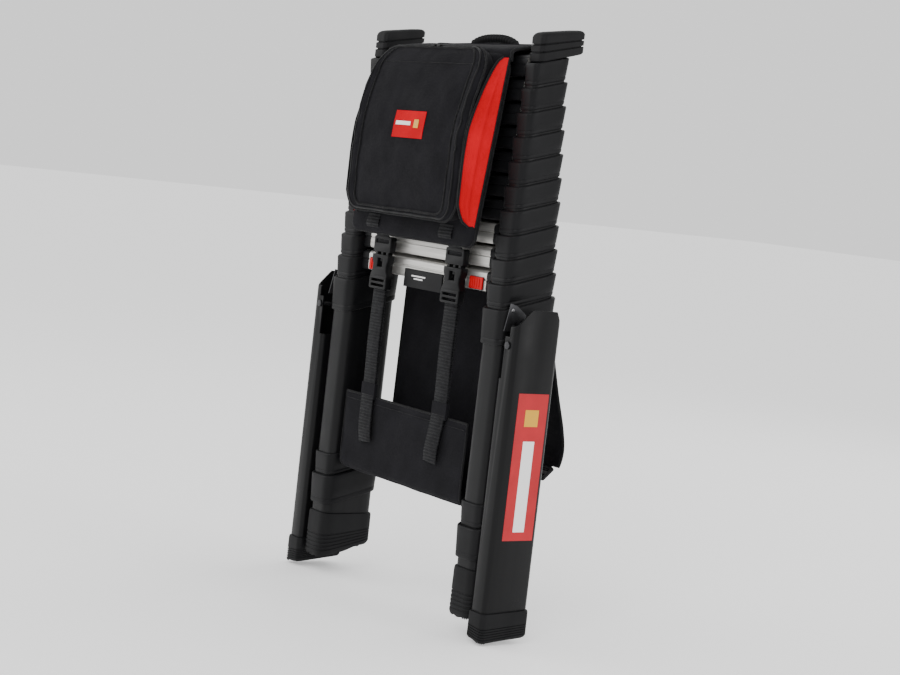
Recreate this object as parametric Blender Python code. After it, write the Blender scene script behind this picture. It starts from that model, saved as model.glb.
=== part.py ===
"""A telescoping ladder, closed, with swing-out stabiliser legs and a buckled-on tool bag harness.

Metres, +Z up. The climber stands on the -Y side and +X is the ladder's right side. Rungs and collars slope up
towards the back, so that they lie level once the ladder leans at its working angle.
"""

import math

import bmesh
import bpy
from mathutils import Matrix

# Driving dimensions of the telescoping sections
SECTIONS = 10
STILE_X = 0.210
STILE_Y = -0.0435
PITCH = 0.036
SLOPE = math.tan(math.radians(15))
BASE_COLLAR_TOP = 0.543
COLLAR_HEIGHT = 0.034
TUBE_WIDTH = 0.0530
TUBE_DEPTH = 0.0930
WIDTH_STEP = 0.0027
DEPTH_STEP = 0.0039
TUBE_WALL = 0.0009
TUBE_LENGTH = 0.400
COLLAR_GROWTH = 0.0025
OVAL_POWER = 5.0
OVAL_POINTS = 16
GAP = 0.0003

# Rungs and what sits on the lowest one
RUNG_DEPTH = 0.060
RUNG_DEPTH_STEP = 0.0014
RUNG_HEIGHT = 0.0345
RUNG_RISE = 0.011
BUTTON_X = 0.1395
BUTTON_SIZE = (0.033, 0.004, 0.017)
BUTTON_Z = 0.534
PLATE_SIZE = (0.104, 0.0025, 0.028)
PLATE_Z = 0.522

# Fittings on the lowest stiles
FOOT_SOLE = 0.026
FOOT_TOP = 0.102
FOOT_GROWTH = 0.0035
BRACKET_TOP = 0.507
BRACKET_HEIGHT = 0.054
BRACKET_GROWTH = 0.0045
BAND_LEVELS = ((0.127, 0.178, 0.0050), (0.177, 0.214, 0.0030))

CAP_HALF_WIDTH = 0.0165

# Stabiliser legs
LEG_X = 0.262
LEG_Y = -0.011
LEG_SIZE = (0.034, 0.082)
LEG_CORNER = 0.007
LEG_WALL = 0.0025
LEG_TOP = 0.500
BOOT_HEIGHT = 0.046
BOOT_GROWTH = 0.003
PIVOT_Z = 0.445
PIN_RADIUS = 0.003
PIN_HOLE_RADIUS = 0.0034
PIN_HEAD_RADIUS = 0.0055
PIN_HEAD_HEIGHT = 0.0022
LUG_RADIUS = 0.0095
LUG_HALF_DEPTH = 0.018
ARM_BOTTOM = PIVOT_Z + 0.004
ARM_TOP = PIVOT_Z + 0.034
LINK_PLATE_X = 0.2430
LINK_PLATE_THICKNESS = 0.0018

# Carrying harness
BAG_HALF_WIDTH = 0.168
BAG_BOTTOM = 0.578
BAG_TOP = 0.885
BAG_CORNER = 0.035
PANEL_HALF_WIDTH = 0.150
FLAP_HALF_WIDTH = 0.170
FLAP_Y = -0.0385
STRAP_X = 0.100
STRAP_HALF_WIDTH = 0.0145
SHOULDER_X = 0.100
SHOULDER_HALF_WIDTH = 0.030
BUCKLE_LEVELS = (0.4875, 0.5735)
BUCKLE_HALF_WIDTH = 0.0245
BUCKLE_FRONT = -0.0508
BUCKLE_BACK = -0.0348
HANDLE_RADIUS = 0.0085
HANDLE_HALF_LENGTH = 0.078
HANDLE_BOTTOM = 0.866
HANDLE_RISE = 0.044
PANEL_BACK = 0.050
PANEL_THICKNESS = 0.006
FLAP_THICKNESS = 0.003
SHOULDER_THICKNESS = 0.008
WEBBING_THICKNESS = 0.0024

BLACK_PLASTIC = ("black_plastic", (0.022, 0.022, 0.024), 0.50, 0.0)
BLACK_ALUMINIUM = ("black_aluminium", (0.016, 0.016, 0.018), 0.34, 0.6)
SILVER = ("silver_aluminium", (0.62, 0.61, 0.59), 0.42, 0.9)
RED_PLASTIC = ("red_plastic", (0.62, 0.03, 0.04), 0.40, 0.0)
BLACK_RUBBER = ("black_rubber", (0.020, 0.020, 0.021), 0.70, 0.0)
STEEL = ("steel", (0.45, 0.45, 0.46), 0.35, 1.0)
BLACK_FABRIC = ("black_fabric", (0.018, 0.018, 0.021), 0.88, 0.0)
WEBBING = ("black_webbing", (0.013, 0.013, 0.014), 0.80, 0.0)


def clear_scene():
    for obj in list(bpy.data.objects):
        bpy.data.objects.remove(obj, do_unlink=True)


def new_collection(name):
    collection = bpy.data.collections.new(name)
    bpy.context.scene.collection.children.link(collection)
    return collection


def get_material(finish):
    name, colour, roughness, metallic = finish
    found = bpy.data.materials.get(name)
    if found:
        return found
    made = bpy.data.materials.new(name)
    made.use_nodes = True
    shader = made.node_tree.nodes["Principled BSDF"]
    shader.inputs["Base Color"].default_value = (*colour, 1.0)
    shader.inputs["Roughness"].default_value = roughness
    shader.inputs["Metallic"].default_value = metallic
    return made


def move_mesh(obj, matrix):
    """Moves the points of a mesh, so that the object's own placement stays as it is."""
    obj.data.transform(matrix)
    if matrix.determinant() < 0:
        obj.data.flip_normals()


def add_empty(name, location, parent=None):
    empty = bpy.data.objects.new(name, None)
    empty.location = location
    empty.parent = parent
    parts.objects.link(empty)
    return empty


def add_part(obj, name, finish, pivot=None):
    """Makes a loose mesh object a named piece, placed from the stiles' plane or from a pivot on it."""
    obj.name = name
    obj.data.name = name
    obj.data.materials.clear()
    obj.data.materials.append(get_material(finish))
    obj.parent = pivot or ladder_origin
    if pivot:
        move_mesh(obj, Matrix.Translation(-pivot.location))
    parts.objects.link(obj)
    return obj


def mesh_from_curve(curve):
    """A solid from a curve, its caps welded to its sides."""
    source = bpy.data.objects.new("curve", curve)
    bpy.context.scene.collection.objects.link(source)
    graph = bpy.context.evaluated_depsgraph_get()
    mesh = bpy.data.meshes.new_from_object(source.evaluated_get(graph))
    bpy.data.objects.remove(source)
    work = bmesh.new()
    work.from_mesh(mesh)
    bmesh.ops.remove_doubles(work, verts=work.verts, dist=0.00001)
    bmesh.ops.recalc_face_normals(work, faces=work.faces)
    work.to_mesh(mesh)
    work.free()
    return bpy.data.objects.new("solid", mesh)


def curve_solid(outlines, half_thickness, bevel=0.0):
    """A flat outline, with its holes, thickened along Z and welded into one closed mesh."""
    curve = bpy.data.curves.new("outline", "CURVE")
    curve.dimensions = "2D"
    curve.fill_mode = "BOTH"
    curve.extrude = half_thickness - bevel
    curve.bevel_depth = bevel
    curve.bevel_resolution = 0
    curve.offset = -bevel
    for outline in outlines:
        spline = curve.splines.new("POLY")
        spline.points.add(len(outline) - 1)
        for point, (x, y) in zip(spline.points, outline):
            point.co = (x, y, 0.0, 1.0)
        spline.use_cyclic_u = True
    return mesh_from_curve(curve)


def oval(width, depth, centre=(0.0, 0.0), power=OVAL_POWER, count=OVAL_POINTS):
    """Points of a superellipse, the section of the stiles."""
    points = []
    for step in range(count):
        angle = 2 * math.pi * (step + 0.5) / count
        cosine, sine = math.cos(angle), math.sin(angle)
        x = math.copysign(abs(cosine) ** (2 / power), cosine) * width / 2
        y = math.copysign(abs(sine) ** (2 / power), sine) * depth / 2
        points.append((centre[0] + x, centre[1] + y))
    return points


def rounded_rectangle(low, high, radius, steps=3):
    points = []
    corners = ((high[0], high[1], 0), (low[0], high[1], 90), (low[0], low[1], 180), (high[0], low[1], 270))
    for x, y, start in corners:
        centre_x = x - math.copysign(radius, x - (low[0] + high[0]) / 2)
        centre_y = y - math.copysign(radius, y - (low[1] + high[1]) / 2)
        for step in range(steps + 1):
            angle = math.radians(start + 90 * step / steps)
            points.append((centre_x + radius * math.cos(angle), centre_y + radius * math.sin(angle)))
    return points


def sleeve(outlines, low, high, slope=0.0, bevel=0.0):
    """An upright extrusion between two heights, its ends sloping up towards the back."""
    obj = curve_solid(outlines, (high - low) / 2, bevel)
    shear = Matrix.Identity(4)
    shear[2][1] = slope
    move_mesh(obj, shear @ Matrix.Translation((0, 0, (low + high) / 2)))
    return obj


def side_extrusion(outline, x_low, x_high, bevel=0.0):
    """An outline of (y, z) points, extruded from one X to another."""
    obj = curve_solid([outline], (x_high - x_low) / 2, bevel)
    turn = Matrix(((0, 0, 1, (x_low + x_high) / 2), (1, 0, 0, 0), (0, 1, 0, 0), (0, 0, 0, 1)))
    move_mesh(obj, turn)
    return obj


def front_extrusion(outline, y_low, y_high):
    """An outline of (x, z) points, extruded from one Y to another."""
    obj = curve_solid([outline], (y_high - y_low) / 2)
    turn = Matrix(((1, 0, 0, 0), (0, 0, -1, (y_low + y_high) / 2), (0, 1, 0, 0), (0, 0, 0, 1)))
    move_mesh(obj, turn)
    return obj


def ribbon(path, thickness, x_low, x_high):
    """A strip of even thickness that follows a path of (y, z) points."""
    sides = ([], [])
    for index, (y, z) in enumerate(path):
        before = path[max(index - 1, 0)]
        after = path[min(index + 1, len(path) - 1)]
        length = math.hypot(after[0] - before[0], after[1] - before[1])
        normal_y = (after[1] - before[1]) / length * thickness / 2
        normal_z = -(after[0] - before[0]) / length * thickness / 2
        sides[0].append((y + normal_y, z + normal_z))
        sides[1].append((y - normal_y, z - normal_z))
    return side_extrusion(sides[0] + sides[1][::-1], x_low, x_high)


def box(low, high):
    bpy.ops.mesh.primitive_cube_add(size=1)
    obj = bpy.context.object
    for collection in list(obj.users_collection):
        collection.objects.unlink(obj)
    centre = [(a + b) / 2 for a, b in zip(low, high)]
    size = [b - a for a, b in zip(low, high)]
    move_mesh(obj, Matrix.Translation(centre) @ Matrix.Diagonal((*size, 1)))
    return obj


def y_cylinder(radius, x, z, y_low, y_high, count=16):
    work = bmesh.new()
    bmesh.ops.create_cone(
        work, cap_ends=True, segments=count, radius1=radius, radius2=radius, depth=y_high - y_low
    )
    mesh = bpy.data.meshes.new("cylinder")
    work.to_mesh(mesh)
    work.free()
    obj = bpy.data.objects.new("cylinder", mesh)
    turn = Matrix.Rotation(math.radians(90), 4, "X")
    move_mesh(obj, Matrix.Translation((x, (y_low + y_high) / 2, z)) @ turn)
    return obj


def combine(obj, other, operation):
    """Applies one exact Boolean and keeps the result as a plain mesh."""
    other.hide_render = True
    other.display_type = "WIRE"
    cutters.objects.link(other)
    bpy.context.scene.collection.objects.link(obj)
    modifier = obj.modifiers.new("combine", "BOOLEAN")
    modifier.operation = operation
    modifier.object = other
    graph = bpy.context.evaluated_depsgraph_get()
    mesh = bpy.data.meshes.new_from_object(obj.evaluated_get(graph))
    bpy.data.objects.remove(obj)
    bpy.data.objects.remove(other)
    return bpy.data.objects.new("solid", mesh)


def mirrored(obj):
    """A copy of a right-hand solid for the left-hand side."""
    copy = bpy.data.objects.new("solid", obj.data.copy())
    move_mesh(copy, Matrix.Diagonal((-1, 1, 1, 1)))
    return copy


def add_pair(obj, name, finish, pivots=(None, None)):
    left = mirrored(obj)
    add_part(obj, name + "_right", finish, pivots[0])
    add_part(left, name + "_left", finish, pivots[1])


def tube_size(section):
    return TUBE_WIDTH - WIDTH_STEP * section, TUBE_DEPTH - DEPTH_STEP * section


def collar_top(section):
    return BASE_COLLAR_TOP + PITCH * section


def stile_oval(section, growth):
    width, depth = tube_size(section)
    return oval(width + 2 * growth, depth + 2 * growth, (STILE_X, 0.0))


def make_stiles():
    """Each section's two tubes, with the moulded collar that grips the tube's top end."""
    for section in range(SECTIONS):
        top = collar_top(section)
        tube_top = top - 0.014
        bottom = FOOT_TOP + GAP if section == 0 else tube_top - TUBE_LENGTH
        if section == SECTIONS - 1:
            tube_top = top + 0.016
        tube = sleeve([stile_oval(section, 0), stile_oval(section, -TUBE_WALL)], bottom, tube_top)
        collar_outlines = [stile_oval(section, COLLAR_GROWTH), stile_oval(section, -TUBE_WALL / 2)]
        collar = sleeve(collar_outlines, top - COLLAR_HEIGHT, top, SLOPE, 0.0012)
        stile = combine(tube, collar, "UNION")
        add_pair(stile, f"stile_{section + 1:02d}", BLACK_PLASTIC)


def make_rungs():
    for section in range(SECTIONS):
        top = collar_top(section) + RUNG_RISE
        low = top - RUNG_HEIGHT
        back = (RUNG_DEPTH - RUNG_DEPTH_STEP * section) / 2
        front = -back
        outline = rounded_rectangle((front, low), (back, top), 0.005, 2)
        half_length = STILE_X - tube_size(section)[0] / 2 - COLLAR_GROWTH - GAP
        rung = side_extrusion([(y, z + SLOPE * y) for y, z in outline], -half_length, half_length)
        add_part(rung, f"rung_{section + 1:02d}", SILVER)


def on_rung_front(size, x, z):
    """A small block that stands on the sloping front of the lowest rung."""
    front = -RUNG_DEPTH / 2 - GAP
    block = box(
        (x - size[0] / 2, front - size[1], z - size[2] / 2), (x + size[0] / 2, front, z + size[2] / 2)
    )
    shear = Matrix.Identity(4)
    shear[2][1] = SLOPE
    move_mesh(block, shear)
    return block


def make_release_buttons():
    add_pair(on_rung_front(BUTTON_SIZE, BUTTON_X, BUTTON_Z), "release_button", RED_PLASTIC)
    add_part(on_rung_front(PLATE_SIZE, 0.0, PLATE_Z), "rung_plate", BLACK_PLASTIC)


def make_top_caps():
    """A cap for each top tube, reaching back as a bumper against the wall."""
    section = SECTIONS - 1
    base = collar_top(section) + GAP
    outline = [
        (-0.0315, base - 0.009),
        (-0.0315, base + 0.034),
        (-0.0255, base + 0.043),
        (0.006, base + 0.050),
        (0.053, base + 0.051),
        (0.058, base + 0.046),
        (0.059, base + 0.018),
        (0.035, base + 0.009),
    ]
    cap = side_extrusion(outline, STILE_X - CAP_HALF_WIDTH, STILE_X + CAP_HALF_WIDTH, 0.003)
    socket = sleeve([stile_oval(section, 0.0003)], base - 0.02, base + 0.018)
    cap = combine(cap, socket, "DIFFERENCE")
    below = sleeve([oval(0.12, 0.20, (STILE_X, 0.0))], base - 0.1, base, SLOPE)
    add_pair(combine(cap, below, "DIFFERENCE"), "top_cap", BLACK_RUBBER)


def make_stile_feet():
    """A moulded foot under each lowest tube, its sole level once the ladder leans."""
    foot = sleeve([stile_oval(0, FOOT_GROWTH)], FOOT_SOLE - 0.05, FOOT_TOP)
    below = sleeve([oval(0.12, 0.20, (STILE_X, 0.0))], -0.2, FOOT_SOLE + 0.012, SLOPE)
    add_pair(combine(foot, below, "DIFFERENCE"), "stile_foot", BLACK_RUBBER)


def make_leg_brackets():
    """The large collar round each lowest tube, with the lug that the leg turns on."""
    low = BRACKET_TOP - BRACKET_HEIGHT
    outlines = [stile_oval(0, BRACKET_GROWTH), stile_oval(0, GAP)]
    collar = sleeve(outlines, low, BRACKET_TOP, SLOPE, 0.0012)
    side = STILE_X + TUBE_WIDTH / 2 + 0.002
    front, back = LEG_Y - LUG_HALF_DEPTH, LEG_Y + LUG_HALF_DEPTH
    arm = box((side, front, ARM_BOTTOM), (LEG_X - 0.002, back, ARM_TOP))
    lug = y_cylinder(LUG_RADIUS, LEG_X, PIVOT_Z, front, back)
    neck = box((LEG_X - 0.0085, front, PIVOT_Z), (LEG_X, back, PIVOT_Z + 0.012))
    bracket = combine(combine(combine(arm, neck, "UNION"), lug, "UNION"), collar, "UNION")
    hole = y_cylinder(PIN_HOLE_RADIUS, LEG_X, PIVOT_Z, LEG_Y - 0.05, LEG_Y + 0.05)
    add_pair(combine(bracket, hole, "DIFFERENCE"), "leg_bracket", BLACK_PLASTIC)


def make_bands():
    """A stepped band low on each stile, where the folded leg clips in."""
    rings = []
    for low, high, growth in BAND_LEVELS:
        rings.append(sleeve([stile_oval(0, growth), stile_oval(0, GAP)], low, high, SLOPE))
    add_pair(combine(rings[0], rings[1], "UNION"), "leg_clip_band", BLACK_PLASTIC)


def leg_outline(growth):
    half_x, half_y = LEG_SIZE[0] / 2 + growth, LEG_SIZE[1] / 2 + growth
    return rounded_rectangle(
        (LEG_X - half_x, LEG_Y - half_y), (LEG_X + half_x, LEG_Y + half_y), LEG_CORNER + growth, 3
    )


def make_leg_tubes():
    """Box-section legs, open on their inner side at the top to clear the bracket as they swing."""
    leg = sleeve([leg_outline(0), leg_outline(-LEG_WALL)], BOOT_HEIGHT + GAP, LEG_TOP)
    front, back = LEG_Y - LEG_SIZE[1] / 2, LEG_Y + LEG_SIZE[1] / 2
    inner = LEG_X - LEG_SIZE[0] / 2
    window = box((inner - 0.01, front - 0.01, PIVOT_Z - 0.050), (LEG_X - 0.008, back + 0.01, LEG_TOP + 0.01))
    leg = combine(leg, window, "DIFFERENCE")
    relief = box((inner - 0.01, front - 0.01, PIVOT_Z + 0.013), (LEG_X + 0.002, back + 0.01, LEG_TOP + 0.01))
    leg = combine(leg, relief, "DIFFERENCE")
    shoulder = [(front - 0.01, 0.462), (front + 0.030, LEG_TOP + 0.004), (front - 0.01, LEG_TOP + 0.004)]
    leg = combine(leg, side_extrusion(shoulder, 0.20, 0.32), "DIFFERENCE")
    rear = [(back + 0.01, 0.462), (back + 0.01, LEG_TOP + 0.004), (back - 0.012, LEG_TOP + 0.004)]
    leg = combine(leg, side_extrusion(rear, 0.20, 0.32), "DIFFERENCE")
    hole = y_cylinder(PIN_HOLE_RADIUS, LEG_X, PIVOT_Z, front - 0.02, back + 0.02)
    add_pair(combine(leg, hole, "DIFFERENCE"), "leg_tube", BLACK_ALUMINIUM, leg_pivots)


def make_leg_boots():
    boot = sleeve([leg_outline(BOOT_GROWTH)], 0.0, BOOT_HEIGHT)
    add_pair(boot, "leg_boot", BLACK_RUBBER, leg_pivots)


def make_leg_pins():
    """The pin that each leg turns on, with a round head at both ends."""
    front, back = LEG_Y - LEG_SIZE[1] / 2, LEG_Y + LEG_SIZE[1] / 2
    pin = y_cylinder(PIN_RADIUS, LEG_X, PIVOT_Z, front - 0.002, back + 0.002)
    for low in (front - GAP - PIN_HEAD_HEIGHT, back + GAP):
        head = y_cylinder(PIN_HEAD_RADIUS, LEG_X, PIVOT_Z, low, low + PIN_HEAD_HEIGHT)
        pin = combine(pin, head, "UNION")
    add_pair(pin, "leg_pin", STEEL, leg_pivots)


def make_link_plates():
    """The steel plate that lies against each bracket's arm, seen above the leg's cut shoulder."""
    arm_front = LEG_Y - LUG_HALF_DEPTH - GAP
    front = LEG_Y - LEG_SIZE[1] / 2 + 0.003
    shelf = ARM_TOP + GAP
    outline = [
        (front, ARM_TOP - 0.015),
        (arm_front, ARM_TOP - 0.015),
        (arm_front, shelf),
        (LEG_Y, shelf),
        (LEG_Y, shelf + 0.010),
        (arm_front, shelf + 0.023),
        (front + 0.008, shelf + 0.026),
    ]
    plate = side_extrusion(outline, LINK_PLATE_X, LINK_PLATE_X + LINK_PLATE_THICKNESS)
    add_pair(plate, "link_plate", STEEL)


def make_bag():
    """The tool bag: a wedge that is deepest near its bottom, with rounded upper corners."""
    side = [
        (-0.027, BAG_TOP),
        (-0.050, BAG_TOP),
        (-0.074, 0.855),
        (-0.090, 0.800),
        (-0.100, 0.720),
        (-0.103, 0.660),
        (-0.099, 0.622),
        (-0.084, 0.600),
        (-0.072, BAG_BOTTOM),
        (-0.060, BAG_BOTTOM),
    ]
    bag = side_extrusion(side, -BAG_HALF_WIDTH, BAG_HALF_WIDTH, 0.006)
    front = rounded_rectangle((-BAG_HALF_WIDTH, BAG_BOTTOM - 0.01), (BAG_HALF_WIDTH, BAG_TOP), BAG_CORNER, 4)
    add_part(combine(bag, front_extrusion(front, -0.2, 0.05), "INTERSECT"), "tool_bag", BLACK_FABRIC)


def make_harness_panels():
    """The back panel, which passes over the top rung, and the flap that closes the loop below."""
    middle = PANEL_BACK - PANEL_THICKNESS / 2
    back = [(-0.036, 0.8895), (0.034, 0.8985), (0.044, 0.8950), (middle, 0.886), (middle, 0.192)]
    panel = ribbon(back, PANEL_THICKNESS, -PANEL_HALF_WIDTH, PANEL_HALF_WIDTH)
    add_part(panel, "back_panel", BLACK_FABRIC)
    front = [
        (FLAP_Y, 0.312),
        (FLAP_Y, 0.196),
        (FLAP_Y + 0.0035, 0.189),
        (FLAP_Y + 0.0105, 0.186),
        (PANEL_BACK, 0.186),
    ]
    flap = ribbon(front, FLAP_THICKNESS, -FLAP_HALF_WIDTH, FLAP_HALF_WIDTH)
    add_part(flap, "lower_flap", BLACK_FABRIC)


def make_shoulder_straps():
    path = [
        (0.055, 0.800),
        (0.075, 0.700),
        (0.103, 0.580),
        (0.132, 0.460),
        (0.160, 0.362),
        (0.180, 0.300),
        (0.186, 0.262),
        (0.176, 0.232),
        (0.150, 0.216),
        (0.100, 0.209),
        (0.056, 0.206),
    ]
    low, high = SHOULDER_X - SHOULDER_HALF_WIDTH, SHOULDER_X + SHOULDER_HALF_WIDTH
    add_pair(ribbon(path, SHOULDER_THICKNESS, low, high), "shoulder_strap", BLACK_FABRIC)


def make_buckle_straps():
    """The two webbing straps that join the flap to the bag, and their side-release buckles."""
    low, high = STRAP_X - STRAP_HALF_WIDTH, STRAP_X + STRAP_HALF_WIDTH
    path = [(FLAP_Y - 0.0032, BUCKLE_LEVELS[0] - 0.0005), (FLAP_Y - 0.0032, 0.240)]
    add_pair(ribbon(path, WEBBING_THICKNESS, low, high), "front_strap", WEBBING)
    left, right = STRAP_X - BUCKLE_HALF_WIDTH, STRAP_X + BUCKLE_HALF_WIDTH
    front = rounded_rectangle((left, BUCKLE_LEVELS[0]), (right, BUCKLE_LEVELS[1]), 0.006, 2)
    add_pair(front_extrusion(front, BUCKLE_FRONT, BUCKLE_BACK), "buckle", BLACK_PLASTIC)


def make_handle():
    """The carrying handle, an arched grip behind the top of the back panel."""
    curve = bpy.data.curves.new("handle", "CURVE")
    curve.dimensions = "3D"
    curve.bevel_depth = HANDLE_RADIUS
    curve.bevel_resolution = 2
    curve.use_fill_caps = True
    spline = curve.splines.new("POLY")
    count = 13
    spline.points.add(count - 1)
    handle_y = PANEL_BACK + GAP + HANDLE_RADIUS
    for step, point in enumerate(spline.points):
        angle = math.pi * step / (count - 1)
        x = -HANDLE_HALF_LENGTH * math.copysign(abs(math.cos(angle)) ** 0.6, math.cos(angle))
        z = HANDLE_BOTTOM + HANDLE_RISE * math.sin(angle) ** 0.7
        point.co = (x, handle_y, z, 1.0)
    add_part(mesh_from_curve(curve), "carry_handle", BLACK_RUBBER)


clear_scene()
parts = new_collection("telescoping_ladder")
cutters = new_collection("cutters")
ladder_origin = add_empty("ladder_origin", (0.0, STILE_Y, 0.0))
leg_pivots = [
    add_empty("leg_pivot_right", (LEG_X, LEG_Y, PIVOT_Z), ladder_origin),
    add_empty("leg_pivot_left", (-LEG_X, LEG_Y, PIVOT_Z), ladder_origin),
]

make_stiles()
make_rungs()
make_release_buttons()
make_top_caps()
make_stile_feet()
make_leg_brackets()
make_bands()
make_leg_tubes()
make_leg_boots()
make_leg_pins()
make_link_plates()
make_bag()
make_harness_panels()
make_shoulder_straps()
make_buckle_straps()
make_handle()
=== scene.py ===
"""The looks of the closed telescoping ladder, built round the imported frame. Metres, +Z up."""

import math

import bmesh  # noqa: E402
import bpy  # noqa: E402
from mathutils import Matrix, Vector, noise  # noqa: E402
from mathutils.bvhtree import BVHTree  # noqa: E402


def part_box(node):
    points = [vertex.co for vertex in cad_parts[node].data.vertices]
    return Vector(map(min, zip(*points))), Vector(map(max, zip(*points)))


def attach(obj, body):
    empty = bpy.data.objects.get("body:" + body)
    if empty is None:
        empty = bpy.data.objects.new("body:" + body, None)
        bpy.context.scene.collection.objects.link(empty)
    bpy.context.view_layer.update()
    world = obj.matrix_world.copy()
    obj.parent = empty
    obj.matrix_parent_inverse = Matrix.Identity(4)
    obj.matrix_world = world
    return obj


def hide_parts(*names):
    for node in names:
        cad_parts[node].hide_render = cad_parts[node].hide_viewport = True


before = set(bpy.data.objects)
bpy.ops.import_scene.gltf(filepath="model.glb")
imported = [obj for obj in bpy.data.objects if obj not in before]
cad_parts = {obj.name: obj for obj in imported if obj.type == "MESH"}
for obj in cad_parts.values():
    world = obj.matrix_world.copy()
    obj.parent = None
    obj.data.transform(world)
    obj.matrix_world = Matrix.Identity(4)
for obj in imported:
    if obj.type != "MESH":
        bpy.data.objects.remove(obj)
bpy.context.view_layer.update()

SECTIONS = 10
SLOPE = math.tan(math.radians(15))  # the rise of rungs, collars and soles from front to back
OVAL_POWER = 5.0  # how square the tubes' ovals are
TUBE_WALL = 0.0009
COLLAR_GROWTH = 0.0025
COLLAR_HEIGHT = 0.034
COLLAR_TAPER = 0.0014
LATCH_HALF = 0.003
LOW_RUNGS = 3  # these have LOW_SLEEVE at their ends, and the others HIGH_SLEEVE_AND_PAINTED_SHADE
LOW_SLEEVE = 0.018
# On the high rungs the black runs far in: the end sleeve, and further in painted shade for the shadow behind
# the bag.
HIGH_SLEEVE_AND_PAINTED_SHADE = 0.06
BUTTON_RIBS = 4
BEZEL_MARGIN = 0.0008
FOOT_RIBS = 5
FRONT_STRAP_WIDENING = 1.2
SIDES = (("right", 1), ("left", -1))
TOP_BODY = f"section_{SECTIONS:02d}"
BASE_BODY = "base_section"

rung_low, rung_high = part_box("rung_01")
STILE_Y = (rung_low.y + rung_high.y) / 2


# --- materials


def new_material(name, colour, roughness, metallic=0.0, specular=0.5):
    material = bpy.data.materials.new(name)
    material.use_nodes = True
    inputs = shader_of(material).inputs
    inputs["Base Color"].default_value = (*colour, 1.0)
    inputs["Roughness"].default_value = roughness
    inputs["Metallic"].default_value = metallic
    inputs["Specular IOR Level"].default_value = specular
    return material


def add_node(material, kind, **inputs):
    node = material.node_tree.nodes.new(kind)
    for key, value in inputs.items():
        node.inputs[key].default_value = value
    return node


def link(material, source, target):
    material.node_tree.links.new(source, target)


def shader_of(material):
    return material.node_tree.nodes["Principled BSDF"]


def place_in_metres(material, stretch=(1, 1, 1)):
    """Object coordinates in metres, stretched along each axis."""
    where = add_node(material, "ShaderNodeTexCoord")
    mapping = add_node(material, "ShaderNodeMapping", Scale=stretch)
    link(material, where.outputs["Object"], mapping.inputs["Vector"])
    return mapping.outputs["Vector"]


def noise_value(material, scale, detail=3.0, stretch=(1, 1, 1)):
    texture = add_node(material, "ShaderNodeTexNoise", Scale=scale, Detail=detail)
    link(material, place_in_metres(material, stretch), texture.inputs["Vector"])
    return texture.outputs["Fac"]


def vary_roughness(material, grain, low, high):
    """Spreads the middle of a noise's range, from 0.3 to 0.7, between two values of roughness."""
    ranges = {"From Min": 0.3, "From Max": 0.7, "To Min": low, "To Max": high}
    spread = add_node(material, "ShaderNodeMapRange", **ranges)
    link(material, noise_value(material, *grain), spread.inputs["Value"])
    link(material, spread.outputs["Result"], shader_of(material).inputs["Roughness"])


def vary_colour(material, grain, dark, light):
    ramp = add_node(material, "ShaderNodeValToRGB")
    ramp.color_ramp.elements[0].position = 0.35
    ramp.color_ramp.elements[1].position = 0.7
    ramp.color_ramp.elements[0].color = (*dark, 1)
    ramp.color_ramp.elements[1].color = (*light, 1)
    link(material, noise_value(material, *grain), ramp.inputs["Fac"])
    link(material, ramp.outputs["Color"], shader_of(material).inputs["Base Color"])


def add_bump(material, height, strength, distance):
    bump = add_node(material, "ShaderNodeBump", Strength=strength, Distance=distance)
    link(material, height, bump.inputs["Height"])
    shader = shader_of(material)
    if shader.inputs["Normal"].is_linked:
        link(material, shader.inputs["Normal"].links[0].from_socket, bump.inputs["Normal"])
    link(material, bump.outputs["Normal"], shader.inputs["Normal"])


def add_grain(material, grain, strength, distance):
    """Noise as relief. grain is the noise's scale, its detail and, where it isn't even, its stretch."""
    add_bump(material, noise_value(material, *grain), strength, distance)


def wave(material, direction, pitch):
    """Even bands along one axis, a band every pitch metres."""
    texture = add_node(material, "ShaderNodeTexWave", Scale=math.pi / 10 / pitch)
    texture.wave_type = "BANDS"
    texture.bands_direction = direction
    link(material, place_in_metres(material), texture.inputs["Vector"])
    return texture.outputs["Fac"]


def add_up(material, values):
    total = values[0]
    for value in values[1:]:
        node = add_node(material, "ShaderNodeMath")
        node.operation = "ADD"
        link(material, total, node.inputs[0])
        link(material, value, node.inputs[1])
        total = node.outputs["Value"]
    return total


def moulded_plastic(name, dark, light, rough_low, rough_high):
    """Grained moulded plastic: fine spark grain, faint flow marks and rubbed patches."""
    material = new_material(name, dark, rough_high, specular=0.13)
    vary_colour(material, (14, 5), dark, light)
    vary_roughness(material, (32, 6, (1, 1, 0.4)), rough_low, rough_high)
    add_grain(material, (1600, 2), 0.1, 0.0003)
    add_grain(material, (60, 3, (1, 1, 0.3)), 0.06, 0.0008)
    return material


def coated_metal(name, dark, light, roughness):
    """Powder-coated extrusion: die lines along Z under a fine orange-peel coat."""
    material = new_material(name, dark, roughness, specular=0.15)
    vary_colour(material, (60, 4, (1, 1, 0.02)), dark, light)
    vary_roughness(material, (26, 5), roughness - 0.05, roughness + 0.09)
    add_grain(material, (900, 2), 0.07, 0.0003)
    add_grain(material, (240, 2, (1, 1, 0.01)), 0.1, 0.0003)
    return material


def brushed_aluminium():
    """Satin anodised rungs, with fine lines along X."""
    material = new_material("brushed_aluminium", (0.6, 0.59, 0.57), 0.4, 0.85)
    vary_colour(material, (420, 4, (0.02, 1, 1)), (0.5, 0.49, 0.47), (0.66, 0.65, 0.62))
    vary_roughness(material, (60, 4, (0.1, 1, 1)), 0.34, 0.5)
    add_grain(material, (900, 2, (0.01, 1, 1)), 0.12, 0.0003)
    return material


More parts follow.
